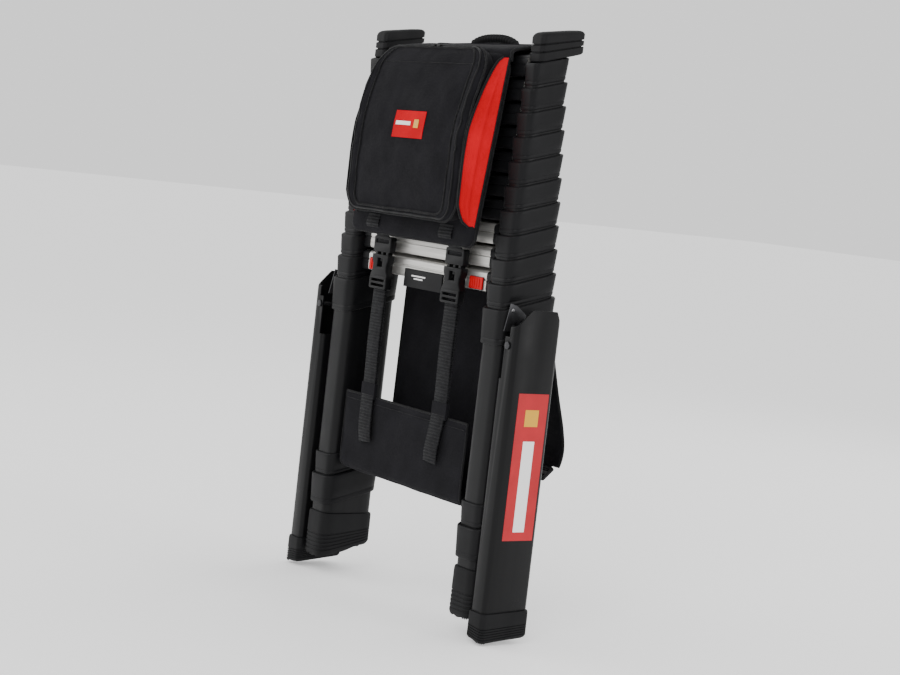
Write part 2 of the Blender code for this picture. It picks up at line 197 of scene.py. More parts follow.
def woven_fabric(name, dark, light, pitch, sheen):
    """Coated woven polyester: crossing yarns, slow folds in tone, and a dry sheen."""
    material = new_material(name, dark, 0.86, specular=0.07)
    shader_of(material).inputs["Sheen Weight"].default_value = sheen
    shader_of(material).inputs["Sheen Roughness"].default_value = 0.45
    vary_colour(material, (22, 6), dark, light)
    vary_roughness(material, (300, 3), 0.78, 0.94)
    yarns = add_up(material, [wave(material, axis, pitch) for axis in "XYZ"])
    add_grain(material, (45, 4), 0.16, 0.004)
    add_bump(material, yarns, 0.32, 0.0005)
    return material


def webbing_material(name, pitch, axes):
    """Ribbed webbing, with a rib every pitch metres across the given axes."""
    material = new_material(name, (0.005, 0.005, 0.006), 0.72, specular=0.09)
    shader_of(material).inputs["Sheen Weight"].default_value = 0.06
    vary_colour(material, (90, 5), (0.0035, 0.0035, 0.0042), (0.01, 0.01, 0.0115))
    vary_roughness(material, (200, 3), 0.58, 0.82)
    ribs = add_up(material, [wave(material, axis, pitch) for axis in axes])
    add_bump(material, ribs, 0.85, 0.0016)
    add_bump(material, wave(material, "X", 0.0012), 0.3, 0.0004)
    return material


def printed_label():
    """A plain red printed label with a satin film."""
    material = new_material("red_label_film", (0.62, 0.01, 0.016), 0.38, specular=0.35)
    vary_colour(material, (30, 4), (0.36, 0.002, 0.007), (0.43, 0.003, 0.01))
    vary_roughness(material, (80, 4), 0.3, 0.46)
    add_grain(material, (300, 2), 0.05, 0.0003)
    return material


def plated_steel():
    material = new_material("plated_steel", (0.46, 0.46, 0.47), 0.32, 1.0)
    vary_colour(material, (120, 4), (0.36, 0.36, 0.37), (0.55, 0.55, 0.56))
    vary_roughness(material, (200, 4), 0.24, 0.44)
    add_grain(material, (700, 2), 0.08, 0.0003)
    return material


def satin_finish(material):
    """Gives an evenly coloured material uneven gloss and a faint grain."""
    vary_roughness(material, (120, 4), 0.34, 0.5)
    add_grain(material, (500, 2), 0.05, 0.0003)


PLASTIC = moulded_plastic("collar_plastic", (0.004, 0.004, 0.0046), (0.0066, 0.0066, 0.0073), 0.36, 0.5)
RUBBER = moulded_plastic("foot_rubber", (0.0055, 0.0055, 0.006), (0.0085, 0.0085, 0.0092), 0.48, 0.64)
BUCKLE_PLASTIC = moulded_plastic(
    "buckle_plastic", (0.0035, 0.0035, 0.004), (0.006, 0.006, 0.0066), 0.28, 0.42
)
RED_PLASTIC = moulded_plastic("button_plastic", (0.46, 0.004, 0.007), (0.56, 0.008, 0.012), 0.32, 0.44)
LEG_COAT = coated_metal("leg_coating", (0.0034, 0.0034, 0.0038), (0.0052, 0.0052, 0.0056), 0.32)
TUBE_COAT = coated_metal("tube_coating", (0.0045, 0.0045, 0.005), (0.007, 0.007, 0.0075), 0.34)
ALUMINIUM = brushed_aluminium()
STEEL = plated_steel()
FABRIC = woven_fabric("bag_fabric", (0.006, 0.0058, 0.0072), (0.0098, 0.0094, 0.0115), 0.0013, 0.03)
RED_FABRIC = woven_fabric("gusset_fabric", (0.46, 0.002, 0.0085), (0.57, 0.0035, 0.012), 0.0011, 0.0)
BINDING = webbing_material("binding_tape", 0.0016, "XYZ")
WEBBING = webbing_material("strap_webbing", 0.005, "Z")
HARNESS_WEBBING = webbing_material("harness_webbing", 0.0022, "Y")
LABEL = printed_label()
PRINT = new_material("white_print", (0.8, 0.79, 0.78), 0.45)
YELLOW_PRINT = new_material("yellow_print", (0.6, 0.3, 0.002), 0.45)
DARK_STEEL = new_material("blackened_steel", (0.045, 0.045, 0.048), 0.42, 0.8)
for evenly_coloured in (PRINT, YELLOW_PRINT, DARK_STEEL):
    satin_finish(evenly_coloured)


# --- mesh helpers


def finish_mesh(name, work, material, smooth=35):
    """Makes an object of a bmesh, smooth except at edges sharper than smooth degrees."""
    bmesh.ops.recalc_face_normals(work, faces=work.faces)
    mesh = bpy.data.meshes.new(name)
    work.to_mesh(mesh)
    work.free()
    mesh.materials.append(material)
    mesh.shade_smooth()
    mesh.set_sharp_from_angle(angle=math.radians(smooth))
    obj = bpy.data.objects.new(name, mesh)
    bpy.context.scene.collection.objects.link(obj)
    return obj


def keep(obj, body, slot_name, *replaced):
    """Hangs a finished piece on its body, and hides the CAD nodes that it stands for."""
    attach(obj, body)
    if replaced:
        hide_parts(*replaced)
    return obj


def add_piece(name, work, material, body, slot_name, *replaced, smooth=35):
    """Makes a piece of a bmesh and keeps it."""
    return keep(finish_mesh(name, work, material, smooth), body, slot_name, *replaced)


def loft(rings, ends="cap"):
    """A bmesh through closed rings of points. Its ends are capped, or joined to each other."""
    work = bmesh.new()
    rows = [[work.verts.new(point) for point in ring] for ring in rings]
    count = len(rows[0])
    pairs = list(zip(rows, rows[1:]))
    if ends == "join":
        pairs.append((rows[-1], rows[0]))
    for lower, upper in pairs:
        for i in range(count):
            j = (i + 1) % count
            work.faces.new((lower[i], lower[j], upper[j], upper[i]))
    if ends == "cap":
        work.faces.new(rows[0][::-1])
        work.faces.new(rows[-1])
    return work


def oval(width, depth, centre, count=64):
    points = []
    for step in range(count):
        angle = 2 * math.pi * step / count
        cosine, sine = math.cos(angle), math.sin(angle)
        x = math.copysign(abs(cosine) ** (2 / OVAL_POWER), cosine) * width / 2
        y = math.copysign(abs(sine) ** (2 / OVAL_POWER), sine) * depth / 2
        points.append((centre[0] + x, centre[1] + y))
    return points


def rounded_rectangle(low, high, radius, steps=6, low_radius=None):
    """A rectangle's outline. Its two lower corners take low_radius where one is given."""
    points = []
    radii = {high[1]: radius, low[1]: low_radius or radius}
    corners = ((high[0], high[1], 0), (low[0], high[1], 90), (low[0], low[1], 180), (high[0], low[1], 270))
    middle = ((low[0] + high[0]) / 2, (low[1] + high[1]) / 2)
    for x, y, start in corners:
        radius = radii[y]
        centre_x = x - math.copysign(radius, x - middle[0])
        centre_y = y - math.copysign(radius, y - middle[1])
        for step in range(steps + 1):
            angle = math.radians(start + 90 * step / steps)
            points.append((centre_x + radius * math.cos(angle), centre_y + radius * math.sin(angle)))
    return points


def bevelled(work, width, segments=2, sharper_than=28):
    limit = math.radians(sharper_than)
    edges = [e for e in work.edges if len(e.link_faces) == 2 and e.calc_face_angle(0) > limit]
    bmesh.ops.bevel(
        work, geom=edges, offset=width, segments=segments, profile=0.6, affect="EDGES", clamp_overlap=True
    )
    return work


def block(low, high, bevel, segments=3):
    work = bmesh.new()
    bmesh.ops.create_cube(work, size=1)
    size = [b - a for a, b in zip(low, high)]
    centre = [(a + b) / 2 for a, b in zip(low, high)]
    work.transform(Matrix.Translation(centre) @ Matrix.Diagonal((*size, 1)))
    return bevelled(work, bevel, segments)


def disc(radius, centre, axis, depth, count=32, bevel=0.0006):
    """A short cylinder centred on a point, with its axis along X or Y."""
    work = bmesh.new()
    bmesh.ops.create_cone(work, cap_ends=True, segments=count, radius1=radius, radius2=radius, depth=depth)
    turn = Matrix.Rotation(math.radians(90), 4, "Y" if axis == "X" else "X")
    work.transform(Matrix.Translation(centre) @ turn)
    return bevelled(work, bevel)


def finished_copy(node, name, material, bevel):
    """The CAD node's own shape with its flat facets joined and its edges rounded."""
    work = bmesh.new()
    work.from_mesh(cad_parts[node].data)
    bmesh.ops.remove_doubles(work, verts=work.verts, dist=0.00002)
    bmesh.ops.dissolve_limit(work, angle_limit=math.radians(1), verts=work.verts, edges=work.edges)
    bevelled(work, bevel, 2, 32)
    return finish_mesh(name, work, material, 30)


def join_meshes(works):
    """One bmesh that holds several, each still a closed shell."""
    total = works[0]
    for work in works[1:]:
        holder = bpy.data.meshes.new("holder")
        work.to_mesh(holder)
        work.free()
        total.from_mesh(holder)
        bpy.data.meshes.remove(holder)
    return total


def direction_at(path, index, closed=False):
    """The unit direction of a path at one of its points, taken from the points beside it."""
    if closed:
        before, after = path[index - 1], path[(index + 1) % len(path)]
    else:
        before, after = path[max(index - 1, 0)], path[min(index + 1, len(path) - 1)]
    return (Vector(after) - Vector(before)).normalized()


def round_ring(centre, side, other, side_radius, other_radius, count):
    ring = []
    for step in range(count):
        angle = 2 * math.pi * step / count
        ring.append(centre + side * side_radius * math.cos(angle) + other * other_radius * math.sin(angle))
    return ring


def sweep(path, half_width, thickness, corner=0.0008, swelling=None, slant=0.0):
    """A flat strap that follows 3-D points, its width along X. slant cuts its far end on the skew."""
    rings = []
    section = rounded_rectangle((-half_width, -thickness / 2), (half_width, thickness / 2), corner, 2)
    last = len(path) - 1
    for index, point in enumerate(path):
        along = direction_at(path, index)
        across = Vector((1, 0, 0))
        across = (across - along * across.dot(along)).normalized()
        out = along.cross(across).normalized()
        skew = slant if index == last else 0.0
        ring = []
        for x, y in section:
            swell = 1.0 + (swelling(x / half_width, index / last) if swelling else 0.0)
            ring.append(Vector(point) + across * x + out * y * swell + along * (x / half_width + 1) * skew)
        rings.append(ring)
    return loft(rings)


def add_strap(name, work, material, body, slot_name="webbing", *replaced):
    return add_piece(name, work, material, body, slot_name, *replaced, smooth=40)


def smooth_path(points, count):
    """Points along a Catmull-Rom curve through a few 3-D points, as many on each of its spans."""
    spread = [Vector(p) for p in points]
    spread = [2 * spread[0] - spread[1]] + spread + [2 * spread[-1] - spread[-2]]
    fine = []
    spans = len(points) - 1
    for step in range(count):
        place = step / (count - 1) * spans
        span = min(int(place), spans - 1)
        t = place - span
        a, b, c, d = spread[span : span + 4]
        bend = (2 * a - 5 * b + 4 * c - d) * t**2 + (3 * b - a - 3 * c + d) * t**3
        fine.append(0.5 * (2 * b + (c - a) * t + bend))
    return fine


def add_piping(name, path, radius, body, slot_name="webbing", material=BINDING, closed=False, sides=8):
    """A thin round piping or seam along 3-D points."""
    rings = []
    for index, point in enumerate(path):
        along = direction_at(path, index, closed)
        side = along.cross(Vector((0, 1, 0)))
        if side.length < 0.1:
            side = along.cross(Vector((1, 0, 0)))
        side.normalize()
        rings.append(round_ring(Vector(point), side, along.cross(side), radius, radius, sides))
    work = loft(rings, "join" if closed else "cap")
    add_piece(name, work, material, body, slot_name, smooth=60)


def body_of_section(section):
    return BASE_BODY if section == 1 else f"section_{section:02d}"


# --- stiles and rungs


def sloping_ring(width, depth, growth, centre, level):
    outline = oval(width + 2 * growth, depth + 2 * growth, centre)
    return [(x, y, level + SLOPE * (y - centre[1])) for x, y in outline]


def collar_mesh(width, depth, centre, low, high, wall):
    """A moulded sleeve: rounded lips, a shadow groove near its foot, and a plain band."""
    tall = high - low
    neck = 0.16 * tall
    steps = [
        (0.0, -COLLAR_TAPER - 0.0014), (0.0004, -COLLAR_TAPER - 0.0006), (0.0014, -COLLAR_TAPER),
        (neck, -COLLAR_TAPER * 0.9), (neck + 0.0006, -COLLAR_TAPER * 0.9 - 0.0004),
        (neck + 0.0014, -COLLAR_TAPER * 0.9 - 0.0004), (neck + 0.002, -COLLAR_TAPER * 0.85),
        (0.5 * tall, -COLLAR_TAPER * 0.4), (0.78 * tall, 0.0), (tall - 0.0024, 0.0004),
        (tall - 0.0012, 0.0001), (tall - 0.0003, -0.0008), (tall, -0.002), (tall, -wall), (0.0, -wall),
    ]
    rings = [sloping_ring(width, depth, growth, centre, low + rise) for rise, growth in steps]
    return loft(rings, "join")


def stile_size(section, side):
    """The collar's outer size, centre and level top, read from the CAD node."""
    low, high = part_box(f"stile_{section:02d}_{side}")
    facet_trim = math.cos(math.pi / 16) ** (2 / OVAL_POWER)
    width = (high.x - low.x) / facet_trim
    depth = (high.y - low.y) / facet_trim
    top = high.z - SLOPE * (high.y - low.y) / 2
    return width, depth, ((low.x + high.x) / 2, STILE_Y), low.z, top


def make_stiles():
    for section in range(1, SECTIONS + 1):
        for side, sign in SIDES:
            make_stile(section, side, sign)


def make_stile(section, side, sign):
    """One tube, then the moulded collar on its top with the latch behind."""
    body = body_of_section(section)
    width, depth, centre, bottom, top = stile_size(section, side)
    if section == SECTIONS:
        cap_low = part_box(f"top_cap_{side}")[0]
        top = cap_low.z - SLOPE * (cap_low.y - STILE_Y) - 0.0003
    tube_width, tube_depth = width - 2 * COLLAR_GROWTH, depth - 2 * COLLAR_GROWTH
    inner = oval(tube_width - 2 * TUBE_WALL, tube_depth - 2 * TUBE_WALL, centre)
    outer = oval(tube_width, tube_depth, centre)
    tube_top = top - 0.014
    shapes = ((outer, bottom), (outer, tube_top), (inner, tube_top), (inner, bottom))
    rings = [[(x, y, z) for x, y in shape] for shape, z in shapes]
    add_piece(f"tube_{section:02d}_{side}", loft(rings, "join"), TUBE_COAT, body, "black_aluminium")
    low = top - COLLAR_HEIGHT + 0.0006
    collar = collar_mesh(width, depth, centre, low, top, COLLAR_GROWTH + TUBE_WALL / 2)
    x = centre[0] + sign * width * 0.2
    y = centre[1] + depth / 2
    z = top - 0.011 + SLOPE * depth / 2
    latch = block((x - LATCH_HALF, y - 0.002, z), (x + LATCH_HALF, y + 0.0012, z + 0.004), 0.0008)
    name, stile = f"collar_{section:02d}_{side}", f"stile_{section:02d}_{side}"
    add_piece(name, join_meshes([collar, latch]), PLASTIC, body, "black_plastic", stile, smooth=40)


def rung_outline(low, high):
    """The rung's side view: ribbed tread on top, a lipped front face, a plain back."""
    depth = high.y - low.y
    tall = high.z - low.z - SLOPE * depth
    front, back = low.y, high.y
    base = low.z + SLOPE * depth / 2 - 0.0004
    top = base + tall
    points = []
    ribs = 9
    for step in range(ribs * 4 + 1):
        share = step / (ribs * 4)
        y = back - 0.004 - share * (depth - 0.01)
        points.append((y, top - 0.0004 - 0.0007 * (0.5 - 0.5 * math.cos(2 * math.pi * share * ribs))))
    for step in range(1, 6):
        angle = math.radians(90 + 90 * step / 5)
        points.append((front + 0.005 + 0.005 * math.cos(angle), top - 0.005 + 0.005 * math.sin(angle)))
    lip = top - 0.011
    points += [(front, lip), (front + 0.001, lip - 0.001)]
    points += [(front + 0.001, lip - 0.0022), (front, lip - 0.0032)]
    points += [(front, base + 0.006), (front + 0.0014, base + 0.0022), (front + 0.005, base + 0.0002)]
    points += [(back - 0.005, base + 0.0002), (back - 0.0012, base + 0.002), (back, base + 0.006)]
    points += [(back, top - 0.005), (back - 0.0012, top - 0.0016)]
    return points


def make_rungs():
    for section in range(1, SECTIONS + 1):
        low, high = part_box(f"rung_{section:02d}")
        outline = rung_outline(low, high)
        rings = []
        for x in (low.x, low.x + 0.0006, high.x - 0.0006, high.x):
            rings.append([(x, y, z + SLOPE * (y - STILE_Y)) for y, z in outline])
        name, rung = f"tread_{section:02d}", f"rung_{section:02d}"
        body = body_of_section(section)
        add_piece(name, loft(rings), ALUMINIUM, body, "silver_aluminium", rung, smooth=30)
        for side, sign in SIDES:
            make_rung_end(section, side, sign, outline, high.x)


def make_rung_end(section, side, sign, outline, reach):
    """The black sleeve on a rung's end, which is shorter on the low rungs. On the others its long inner part
    is painted shade.
    """
    middle_y = sum(y for y, z in outline) / len(outline)
    middle_z = sum(z for y, z in outline) / len(outline)

    def ring(x, scale):
        points = []
        for y, z in outline:
            y = middle_y + (y - middle_y) * scale
            z = middle_z + (z - middle_z) * (1 + (scale - 1) * 0.6)
            points.append((sign * x, y, z + SLOPE * (y - STILE_Y)))
        return points

    # on the high rungs the sleeve's long inner part is painted shade, standing for the shadow behind the bag
    start = reach - (HIGH_SLEEVE_AND_PAINTED_SHADE if section > LOW_RUNGS else LOW_SLEEVE)
    rings = [ring(start, 1.008), ring(start + 0.0004, 1.02), ring(reach - 0.0002, 1.02)]
    name = f"rung_end_{section:02d}_{side}"
    add_piece(name, loft(rings), PLASTIC, body_of_section(section), "black_plastic", smooth=30)


def rung_front_piece(low, high, bevel):
    """A block on the lowest rung's front, sheared to its slope."""
    work = block(low, high, bevel)
    shear = Matrix.Identity(4)
    shear[2][1] = SLOPE
    shear[2][3] = -SLOPE * (low[1] + high[1]) / 2
    work.transform(shear)
    return work


def make_rung_plate():
    """A blank plate with two short white bars."""
    low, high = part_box("rung_plate")
    plate = rung_front_piece(low, high, 0.0009)
    add_piece("blank_plate", plate, PLASTIC, BASE_BODY, "black_plastic", "rung_plate")
    face = low.y - 0.0004
    bars = []
    for row, half in ((0.0042, 0.019), (-0.0002, 0.012)):
        z = (low.z + high.z) / 2 + row
        bar_low = (-half - 0.012, face, z - 0.0011)
        bars.append(block(bar_low, (half - 0.012, face + 0.0004, z + 0.0011), 0.0001, 1))
    add_piece("blank_plate_bars", join_meshes(bars), PRINT, BASE_BODY, "silver_aluminium")


def make_release_buttons():
    """A ribbed red thumb button on each side, in a thin black bezel."""
    for side, _ in SIDES:
        low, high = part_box(f"release_button_{side}")
        works = [rung_front_piece((low.x, low.y + 0.0014, low.z), high, 0.0008)]
        for rib in range(BUTTON_RIBS):
            x = low.x + (high.x - low.x) * (0.22 + 0.56 * rib / (BUTTON_RIBS - 1))
            rib_low = (x - 0.0013, low.y, low.z + 0.002)
            works.append(rung_front_piece(rib_low, (x + 0.0013, high.y - 0.0012, high.z - 0.002), 0.0006))
        button = f"release_button_{side}"
        add_piece(f"thumb_button_{side}", join_meshes(works), RED_PLASTIC, button, "red_plastic", button)
        margin = BEZEL_MARGIN
        bezel_low = (low.x - margin, high.y - 0.0006, low.z - margin)
        bezel = rung_front_piece(bezel_low, (high.x + margin, high.y + 0.0004, high.z + margin), 0.0004)
        add_piece(f"button_slot_{side}", bezel, PLASTIC, BASE_BODY, "black_plastic")


def make_top_cap(side):
    """A ridged rubber cap on a top tube, which reaches back as the wall bumper."""
    low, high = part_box(f"top_cap_{side}")
    base = low.z - SLOPE * (low.y - STILE_Y)
    heel = STILE_Y + 0.034

    def underside(y):
        if y < heel:
            return base + SLOPE * (y - STILE_Y)
        return base + SLOPE * (heel - STILE_Y) + (y - heel) / (high.y - heel) * 0.009

    def crest(y):
        return high.z - 0.0155 * ((high.y - y) / (high.y - low.y)) ** 1.4

    levels = [(0.0, 0.0016), (0.03, 0.0004), (0.06, 0.0)]
    for groove in (0.3, 0.56):
        levels += [(groove, 0.0), (groove + 0.015, 0.0024)]
        levels += [(groove + 0.05, 0.0024), (groove + 0.065, 0.0002)]
    levels += [(0.84, 0.0), (0.91, 0.001), (0.96, 0.0026), (0.99, 0.005), (1.0, 0.008)]
    rings = []
    for share, pull_in in levels:
        front, rear = low.y + 0.007 + pull_in, high.y - 0.003 - pull_in
        outline = rounded_rectangle((low.x + pull_in, front), (high.x - pull_in, rear), 0.008, 6)
        rings.append([(x, y, underside(y) + share * (crest(y) - underside(y))) for x, y in outline])
    name, cap = f"bumper_cap_{side}", f"top_cap_{side}"
    add_piece(name, loft(rings), RUBBER, TOP_BODY, "black_rubber", cap, smooth=40)


# --- feet, brackets and bands


def ribbed_foot(shape_at, levels, sole_at, top):
    """A moulded foot: rings of one outline, ribbed low down, with a toothed sole that follows sole_at."""
    rings = []
    for share, growth in levels:
        ring = []
        outline = shape_at(growth)
        for index, (x, y) in enumerate(outline):
            sole = sole_at(x, y)
            if share == 0.0 and index % 2:
                sole += 0.0022
            ring.append((x, y, sole + (top(x, y) - sole) * share))
        rings.append(ring)
    return loft(rings)


def foot_levels():
    """Shares of the height, and how far the wall stands out there: teeth, ribs, then a plain cuff."""
    levels = [(0.0, -0.0022), (0.05, -0.0008), (0.09, 0.0)]
    for rib in range(FOOT_RIBS):
        start = 0.14 + 0.085 * rib
        levels += [(start, 0.0), (start + 0.012, -0.0011), (start + 0.03, -0.0011), (start + 0.042, 0.0)]
    levels += [(0.62, 0.0), (0.93, -0.0002), (0.985, -0.0008), (1.0, -0.0022)]
    return levels


def make_foot(side):
    """A stile's foot, with its sole on the ladder's slope."""
    low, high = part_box(f"stile_foot_{side}")
    centre = ((low.x + high.x) / 2, STILE_Y)
    width, depth = (high.x - low.x) * 1.008, (high.y - low.y) * 1.008

    def shape_at(growth):
        return oval(width + 2 * growth, depth + 2 * growth, centre, 72)

    def sole_at(x, y):
        return low.z + 0.0005 + SLOPE * (y - low.y)

    foot = ribbed_foot(shape_at, foot_levels(), sole_at, lambda x, y: high.z)
    add_piece(f"ribbed_foot_{side}", foot, RUBBER, BASE_BODY, "black_rubber", f"stile_foot_{side}")


def make_boot(side, sign):
    """A leg's boot, with a sole that rises inwards and backwards."""
    low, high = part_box(f"leg_boot_{side}")
    outer = high.x if sign > 0 else low.x
    slope_in, slope_back, rim_slope = 0.16, 0.11, 0.05

    def shape_at(growth):
        corner = (low.x - growth, low.y - growth)
        return rounded_rectangle(corner, (high.x + growth, high.y + growth), 0.0085, 9)

    def sole_at(x, y):
        return low.z + slope_in * abs(outer - x) + slope_back * (y - low.y)

    def top_at(x, y):
        return high.z + 0.003 + rim_slope * (y - (low.y + high.y) / 2)

    boot = ribbed_foot(shape_at, foot_levels(), sole_at, top_at)
    body = f"stabiliser_leg_{side}"
    add_piece(f"ribbed_boot_{side}", boot, RUBBER, body, "black_rubber", f"leg_boot_{side}")


def make_clip_band(side):
    """The stepped band low on a stile. Returns the stile's centre there."""
    low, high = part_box(f"leg_clip_band_{side}")
    centre = ((low.x + high.x) / 2, STILE_Y)
    width, depth = (high.x - low.x) * 1.012, (high.y - low.y) * 1.012
    middle = low.z + SLOPE * depth / 2
    lower = collar_mesh(width, depth, centre, middle + 0.001, middle + 0.05, 0.004)
    upper = collar_mesh(width - 0.004, depth - 0.004, centre, middle + 0.0502, middle + 0.0868, 0.002)
    name, node = f"clip_band_{side}", f"leg_clip_band_{side}"
    work = join_meshes([lower, upper])
    add_piece(name, work, PLASTIC, BASE_BODY, "black_plastic", node, smooth=40)
    return centre


def make_bracket(side, sign, centre):
    """The collar that carries the leg, with an arm out to the lug round the leg's pin."""
    low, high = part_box(f"leg_bracket_{side}")
    pin_low, pin_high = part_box(f"leg_pin_{side}")
    pivot = (pin_low + pin_high) / 2
    width = 2 * abs(centre[0] - (low.x if sign > 0 else high.x)) * 1.012
    depth = 2 * (STILE_Y - low.y) * 1.012
    top = high.z - SLOPE * depth / 2
    collar = collar_mesh(width, depth, centre, top - 0.054, top, 0.004)
    near, far = sorted((centre[0] + sign * (width / 2 - 0.002), pivot.x - sign * 0.002))
    arm = block((near, pivot.y - 0.018, pivot.z + 0.004), (far, pivot.y + 0.018, pivot.z + 0.034), 0.002)
    work = join_meshes([collar, arm, disc(0.0094, pivot, "Y", 0.036)])
    name, node = f"hinge_bracket_{side}", f"leg_bracket_{side}"
    add_piece(name, work, PLASTIC, BASE_BODY, "black_plastic", node, smooth=40)


def make_bands_and_brackets():
    for side, sign in SIDES:
        centre = make_clip_band(side)
        make_bracket(side, sign, centre)


# --- stabiliser legs


def make_legs():
    for side, sign in SIDES:
        body = f"stabiliser_leg_{side}"
        for name, node, material, bevel, holder, slot_name in (
            ("leg_extrusion", "leg_tube", LEG_COAT, 0.0006, body, "black_aluminium"),
            ("pivot_pin", "leg_pin", DARK_STEEL, 0.0004, body, "steel"),
            ("steel_link_plate", "link_plate", DARK_STEEL, 0.0003, BASE_BODY, "steel"),
        ):
            copied = finished_copy(f"{node}_{side}", f"{name}_{side}", material, bevel)
            keep(copied, holder, slot_name, f"{node}_{side}")
        low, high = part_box(f"link_plate_{side}")
        rivet = disc(0.0026, ((low.x + high.x) / 2, low.y + 0.012, high.z - 0.01), "X", 0.004)
        add_piece(f"plate_rivet_{side}", rivet, STEEL, BASE_BODY, "steel")
        make_leg_label(side, sign, body)


def make_leg_label(side, sign, body):
    """A plain red film on the leg's outer face, with a white bar and a yellow square on it."""
    low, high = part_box(f"leg_tube_{side}")
    face = high.x if sign > 0 else low.x
    middle = high.y - 0.036
    for name, inner, outer, half, bottom, top, material, slot_name in (
        ("leg_label", -0.0001, 0.0003, 0.028, 0.157, 0.377, LABEL, "red_plastic"),
        ("leg_label_bar", 0.0002, 0.0005, 0.0105, 0.17, 0.306, PRINT, "silver_aluminium"),
        ("leg_label_square", 0.0002, 0.0005, 0.0125, 0.328, 0.353, YELLOW_PRINT, "red_plastic"),
    ):
        near, far = sorted((face + sign * inner, face + sign * outer))
        work = block((near, middle - half, bottom), (far, middle + half, top), 0.0001, 1)
        add_piece(f"{name}_{side}", work, material, body, slot_name)


# --- tool bag

bag_low, bag_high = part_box("tool_bag")
BAG_HALF = bag_high.x
BACK_TOP = 0.027
BACK_LEAN = (0.06 - BACK_TOP) / (bag_high.z - bag_low.z)


def bag_back(z):
    """The Y of the bag's back, which leans out towards its foot as the collars get deeper."""
    return STILE_Y - BACK_TOP - BACK_LEAN * (bag_high.z - z)


def pocket_front(z):
    """The Y of the pocket's front panel, which swells quickly below its top edge."""
    drop = min(1.0, max(0.0, (bag_high.z - z) / (bag_high.z - bag_low.z) / 0.62))
    return STILE_Y - 0.052 - 0.041 * (1 - (1 - drop) ** 2.1)


def even_ring(half, low, high, radii, y_at, count=160):
    """A rounded rectangle in XZ with evenly spaced points. radii holds the upper and the lower corners'."""
    corner = rounded_rectangle((-half, low), (half, high), radii[0], 12, radii[1])
    lengths = [0.0]
    for a, b in zip(corner, corner[1:] + corner[:1]):
        lengths.append(lengths[-1] + math.dist(a, b))
    ring = []
    span = 0
    for step in range(count):
        place = lengths[-1] * step / count
        while lengths[span + 1] < place:
            span += 1
        a, b = corner[span], corner[(span + 1) % len(corner)]
        share = (place - lengths[span]) / max(lengths[span + 1] - lengths[span], 1e-9)
        x, z = a[0] + (b[0] - a[0]) * share, a[1] + (b[1] - a[1]) * share
        ring.append(Vector((x, y_at(z), z)))
    return ring


def wrinkle(point, size, depth):
    return noise.noise(Vector(point) * size) * depth


def board_ring(inset, shift):
    """An outline of the bag's back board, inset from its edge and moved forward."""
    low, high = bag_low.z + inset, bag_high.z - 0.013 - inset
    return even_ring(BAG_HALF - inset, low, high, (0.03, 0.014), lambda z: bag_back(z) - shift)


def make_bag_base():
    """The bag's wide back board: a thin padded panel with bound edges."""
    rings = []
    edge = ((0.004, 0.0), (0.0012, 0.0015), (0.0, 0.005), (0.0012, 0.0095), (0.005, 0.0115))
    for inset, shift in edge + ((0.03, 0.012), (0.08, 0.012)):
        ring = board_ring(inset, shift)
        rings.append([p + Vector((0, wrinkle(p, 26, 0.0012), 0)) for p in ring])
    add_piece("bag_back_board", loft(rings), FABRIC, TOP_BODY, "black_fabric", "tool_bag", smooth=60)
    add_piping("bag_board_binding", board_ring(0.0006, 0.005), 0.0026, TOP_BODY, closed=True, sides=10)


PANEL_HALF = 0.1245
PANEL_LOW = bag_low.z + 0.043
PANEL_HIGH = bag_high.z - 0.01
POCKET_HALF = 0.1545
POCKET_LOW = bag_low.z + 0.03
POCKET_HIGH = bag_high.z - 0.003


def band_ring(across, share, count=160):
    """A loop round the pocket, from its outer edge at 0 to the panel's edge at 1 across the zip band."""
    half = POCKET_HALF + (PANEL_HALF - POCKET_HALF) * across
    low = POCKET_LOW + (PANEL_LOW - POCKET_LOW) * across
    high = POCKET_HIGH + (PANEL_HIGH - POCKET_HIGH) * across
    radii = (0.05 - 0.016 * across, 0.034 - 0.016 * across)

    def y_at(z):
        base = bag_back(z) - 0.01
        return base + (pocket_front(z) - base) * share

    return even_ring(half, low, high, radii, y_at, count)


def scaled_ring(ring, scale, shift):
    """A smaller copy of a ring round the panel's middle, moved forward of the panel's front."""
    middle = (PANEL_LOW + PANEL_HIGH) / 2
    points = []
    for p in ring:
        z = middle + (p.z - middle) * scale
        points.append(Vector((p.x * scale, pocket_front(z) - shift, z)))
    return points


def pocket_mesh():
    """The pocket's body: recessed sides, a zip band that stands proud, then the front panel."""
    sides = ((0.3, 0.0), (0.24, 0.45), (0.1, 0.78), (0.0, 0.98))
    zip_band = ((0.02, 1.06), (0.16, 1.11), (0.5, 1.12), (0.85, 1.07), (1.0, 1.0))
    rings = [band_ring(across, share) for across, share in sides + zip_band]
    edge = rings[-1]
    for scale, shift in ((0.94, 0.001), (0.7, 0.003), (0.3, 0.0035)):
        rings.append(scaled_ring(edge, scale, shift))
    return loft(rings)


def inflate(obj, pressure, cap, voxel=0.005):
    """Cloth-simulates a closed form, holds each point within cap of its start, and smooths the result."""
    remesh = obj.modifiers.new("remesh", "REMESH")
    remesh.mode = "VOXEL"
    remesh.voxel_size = voxel
    apply_modifiers(obj)
    start = [v.co.copy() for v in obj.data.vertices]
    cloth = obj.modifiers.new("cloth", "CLOTH")
    cloth.settings.use_pressure = True
    cloth.settings.uniform_pressure_force = pressure
    cloth.settings.quality = 5
    cloth.settings.effector_weights.gravity = 0
    scene = bpy.context.scene
    for step in range(1, 21):
        scene.frame_set(step)
    apply_modifiers(obj)
    scene.frame_set(1)
    for vertex, before in zip(obj.data.vertices, start):
        moved = vertex.co - before
        if moved.length > cap:
            vertex.co = before + moved.normalized() * cap
    smooth = obj.modifiers.new("smooth", "SUBSURF")
    smooth.levels = 1
    smooth.render_levels = 1
    apply_modifiers(obj)
    obj.data.shade_smooth()


